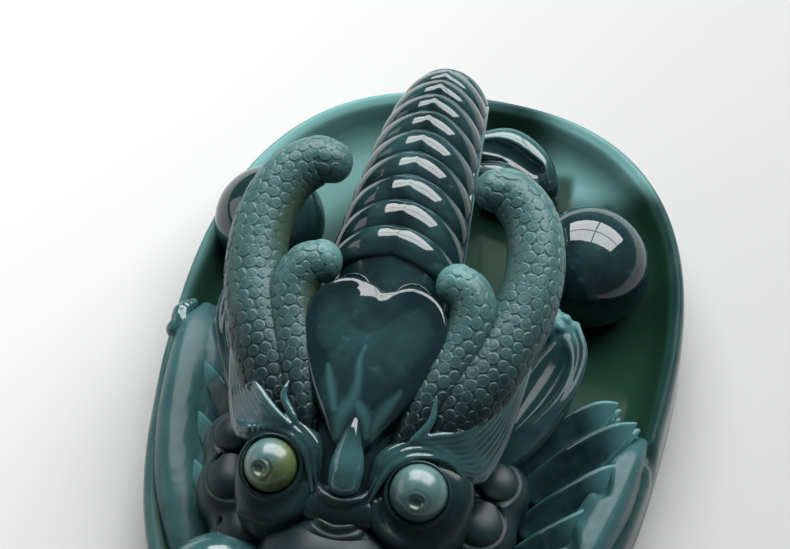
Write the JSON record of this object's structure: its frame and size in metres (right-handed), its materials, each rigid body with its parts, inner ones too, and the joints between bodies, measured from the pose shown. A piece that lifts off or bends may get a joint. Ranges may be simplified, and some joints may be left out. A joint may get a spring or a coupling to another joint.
{
  "type": "carved jade dragon plaque",
  "caption": "Rounded jade plaque with a raised rim, carved in high relief with a horned dragon's head, its long ridged crest, pearls and a flame mane.",
  "frame": {"origin": "centre of the plaque's flat back, which it lies on", "axes": "+Z out of the relief, away from the flat back; +Y up the plaque, from the dragon's chin to the tip of its crest; +X to the right of someone facing the relief"},
  "size_m": [0.0477, 0.07, 0.0288],
  "materials": {
    "jade_tray": "polished, deep green, lighter where thin",
    "jade_polished": "mirror polish, dark blue-green, slightly translucent",
    "jade_satin": "satin, lighter grey-green, fine ring-cut scales",
    "jade_eye": "satin, pale green"
  },
  "bodies": {
    "root": {"beard": "jade_polished", "crest_plate_01": "jade_polished", "crest_plate_02": "jade_polished", "crest_plate_03": "jade_polished", "crest_plate_04": "jade_polished", "crest_plate_05": "jade_polished", "crest_plate_06": "jade_polished", "crest_plate_07": "jade_polished", "crest_plate_08": "jade_polished", "crest_plate_09": "jade_polished", "crest_plate_10": "jade_polished", "crest_ribbon": "jade_polished", "crest_spine": "jade_polished", "fangs": "jade_polished", "forehead_heart": "jade_polished", "head_core": "jade_polished", "left_brow": "jade_polished", "left_cheek_curls": "jade_polished", "left_cloud_boss": "jade_polished", "left_ear": "jade_satin", "left_eye": "jade_eye", "left_eyelid": "jade_polished", "left_horn": "jade_satin", "left_horn_tine": "jade_satin", "left_mane_band": "jade_polished", "left_mane_lock_1": "jade_polished", "left_mane_lock_2": "jade_polished", "left_mane_lock_3": "jade_polished", "left_mane_lock_4": "jade_polished", "left_nostril": "jade_polished", "left_pearl": "jade_polished", "left_whisker": "jade_polished", "lower_jaw": "jade_polished", "nose_ridge": "jade_polished", "right_brow": "jade_polished", "right_cheek_curls": "jade_polished", "right_cloud_boss": "jade_polished", "right_ear": "jade_satin", "right_eye": "jade_eye", "right_eyelid": "jade_polished", "right_horn": "jade_satin", "right_horn_tine": "jade_satin", "right_mane_band": "jade_polished", "right_mane_lock_1": "jade_polished", "right_mane_lock_2": "jade_polished", "right_mane_lock_3": "jade_polished", "right_mane_lock_4": "jade_polished", "right_nostril": "jade_polished", "right_pearl": "jade_polished", "right_whisker": "jade_polished", "rim_scroll": "jade_tray", "snout": "jade_polished", "snout_fold_1": "jade_polished", "snout_fold_2": "jade_polished", "snout_fold_3": "jade_polished", "tray_floor": "jade_tray", "tray_rim": "jade_tray", "upper_lip": "jade_polished"}
  },
  "joints": []
}
